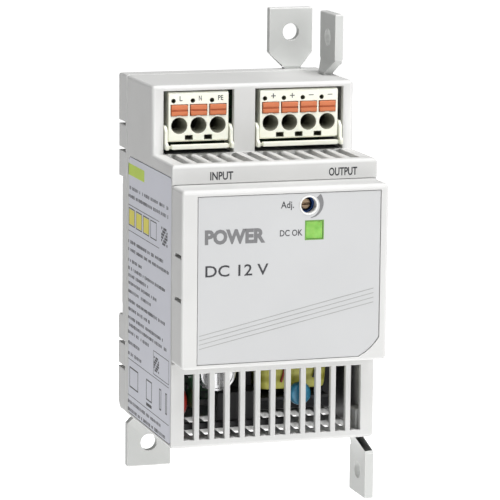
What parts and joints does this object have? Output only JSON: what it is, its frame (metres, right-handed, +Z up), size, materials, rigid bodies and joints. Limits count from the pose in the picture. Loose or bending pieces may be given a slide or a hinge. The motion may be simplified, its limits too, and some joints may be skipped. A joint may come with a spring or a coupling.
{
  "type": "din rail power supply",
  "caption": "Compact rail-mounted power supply with stepped grey housing, pluggable push-in terminals, vents, adjuster, status light and snap-in mounting lugs.",
  "frame": {"origin": "centre of the rail seat: the floor of the recess in the back, on the rail's centre line and the housing's middle", "axes": "+Z up along the wall, -Y towards the wiring side, +Y into the wall, +X to the right as seen from the front"},
  "size_m": [0.054, 0.059, 0.1222],
  "materials": {
    "grey_plastic": "fine textured",
    "lug_plastic": "smooth",
    "ivory_plastic": "smooth",
    "orange_plastic": "smooth",
    "black_plastic": "moulded",
    "foil": "printed foil",
    "label": "printed",
    "green_lens": "translucent",
    "board": "solder mask",
    "spring_steel": "drawn",
    "zinc_steel": "zinc plated",
    "ferrite": "ground",
    "tape": "wrapped film",
    "capacitor_sleeve": "shrink sleeve",
    "blue_coating": "dipped",
    "red_coating": "dipped",
    "blue_plastic": "dipped",
    "yellow_plastic": "moulded",
    "copper": "enamelled wire",
    "fuse_glass": "glass with metal caps",
    "aluminium": "extruded"
  },
  "bodies": {
    "housing": {"back_shell": "grey_plastic", "front_housing": "grey_plastic", "front_cover": "grey_plastic", "front_overlay": "foil", "side_label": "label", "foot_spring": "spring_steel", "input_header": "black_plastic", "output_header": "black_plastic", "main_board": "board", "board_screw_1": "zinc_steel", "board_screw_2": "zinc_steel", "board_screw_3": "zinc_steel", "board_screw_4": "zinc_steel", "riser_board": "board", "front_board": "board", "filter_block": "black_plastic", "transformer_core": "ferrite", "transformer_bobbin": "black_plastic", "transformer_winding": "tape", "fuse": "fuse_glass", "varistor": "blue_plastic", "inrush_limiter": "red_coating", "interference_capacitor": "yellow_plastic", "choke_core": "ferrite", "choke_coil": "copper", "bridge_rectifier": "black_plastic", "bulk_capacitor": "capacitor_sleeve", "safety_capacitor": "blue_coating", "heat_sink": "aluminium", "switching_transistor": "black_plastic", "optocoupler": "black_plastic", "output_capacitor_1": "capacitor_sleeve", "output_capacitor_2": "capacitor_sleeve", "adjuster_body": "blue_plastic", "status_light": "green_lens", "light_window": "green_lens"},
    "foot": {"rail_foot": "lug_plastic"},
    "lug_back_top_body": {"lug_back_top": "lug_plastic"},
    "lug_back_bottom_body": {"lug_back_bottom": "lug_plastic"},
    "lug_side_top_body": {"lug_side_top": "lug_plastic"},
    "lug_side_bottom_body": {"lug_side_bottom": "lug_plastic"},
    "input_plug": {"input_plug_body": "ivory_plastic", "input_clamp_1": "spring_steel", "input_clamp_2": "spring_steel", "input_clamp_3": "spring_steel"},
    "input_lever_body": {"input_lever": "ivory_plastic"},
    "input_button_body_1": {"input_button_1": "orange_plastic"},
    "input_button_body_2": {"input_button_2": "orange_plastic"},
    "input_button_body_3": {"input_button_3": "orange_plastic"},
    "output_plug": {"output_plug_body": "ivory_plastic", "output_clamp_1": "spring_steel", "output_clamp_2": "spring_steel", "output_clamp_3": "spring_steel", "output_clamp_4": "spring_steel"},
    "output_lever_body": {"output_lever": "ivory_plastic"},
    "output_button_body_1": {"output_button_1": "orange_plastic"},
    "output_button_body_2": {"output_button_2": "orange_plastic"},
    "output_button_body_3": {"output_button_3": "orange_plastic"},
    "output_button_body_4": {"output_button_4": "orange_plastic"},
    "adjuster": {"adjuster_rotor": "zinc_steel"}
  },
  "joints": [
    {"name": "foot_slide", "type": "slide", "parent": "housing", "child": "foot", "axis": [0, 0, -1], "range_m": [0, 0.005], "stiffness_N_per_m": 600, "springref_m": -0.003, "deforming": ["foot_spring"]},
    {"name": "lug_back_top_slide", "type": "slide", "parent": "housing", "child": "lug_back_top_body", "axis": [0, 0, 1], "range_m": [0, 0.008]},
    {"name": "lug_back_bottom_slide", "type": "slide", "parent": "housing", "child": "lug_back_bottom_body", "axis": [0, 0, -1], "range_m": [0, 0.008]},
    {"name": "lug_side_top_slide", "type": "slide", "parent": "housing", "child": "lug_side_top_body", "axis": [0, 0, 1], "range_m": [0, 0.008]},
    {"name": "lug_side_bottom_slide", "type": "slide", "parent": "housing", "child": "lug_side_bottom_body", "axis": [0, 0, -1], "range_m": [0, 0.008]},
    {"name": "input_plug_slide", "type": "slide", "parent": "housing", "child": "input_plug", "axis": [0, -1, 0], "range_m": [0, 0.016]},
    {"name": "input_lever_hinge", "type": "hinge", "parent": "input_plug", "child": "input_lever_body", "pos_m": [-0.0146, -0.025, 0.0319], "axis": [-1, 0, 0], "range_deg": [0, 60]},
    {"name": "input_button_1_press", "type": "slide", "parent": "input_plug", "child": "input_button_body_1", "axis": [0, 1, 0], "range_m": [0, 0.0015], "stiffness_N_per_m": 800, "springref_m": -0.001},
    {"name": "input_button_2_press", "type": "slide", "parent": "input_plug", "child": "input_button_body_2", "axis": [0, 1, 0], "range_m": [0, 0.0015], "stiffness_N_per_m": 800, "springref_m": -0.001},
    {"name": "input_button_3_press", "type": "slide", "parent": "input_plug", "child": "input_button_body_3", "axis": [0, 1, 0], "range_m": [0, 0.0015], "stiffness_N_per_m": 800, "springref_m": -0.001},
    {"name": "output_plug_slide", "type": "slide", "parent": "housing", "child": "output_plug", "axis": [0, -1, 0], "range_m": [0, 0.016]},
    {"name": "output_lever_hinge", "type": "hinge", "parent": "output_plug", "child": "output_lever_body", "pos_m": [0.0123, -0.025, 0.0319], "axis": [-1, 0, 0], "range_deg": [0, 60]},
    {"name": "output_button_1_press", "type": "slide", "parent": "output_plug", "child": "output_button_body_1", "axis": [0, 1, 0], "range_m": [0, 0.0015], "stiffness_N_per_m": 800, "springref_m": -0.001},
    {"name": "output_button_2_press", "type": "slide", "parent": "output_plug", "child": "output_button_body_2", "axis": [0, 1, 0], "range_m": [0, 0.0015], "stiffness_N_per_m": 800, "springref_m": -0.001},
    {"name": "output_button_3_press", "type": "slide", "parent": "output_plug", "child": "output_button_body_3", "axis": [0, 1, 0], "range_m": [0, 0.0015], "stiffness_N_per_m": 800, "springref_m": -0.001},
    {"name": "output_button_4_press", "type": "slide", "parent": "output_plug", "child": "output_button_body_4", "axis": [0, 1, 0], "range_m": [0, 0.0015], "stiffness_N_per_m": 800, "springref_m": -0.001},
    {"name": "adjuster_turn", "type": "hinge", "parent": "housing", "child": "adjuster", "pos_m": [0.0059, -0.052, 0.0175], "axis": [0, -1, 0], "range_deg": [-135, 135]}
  ]
}
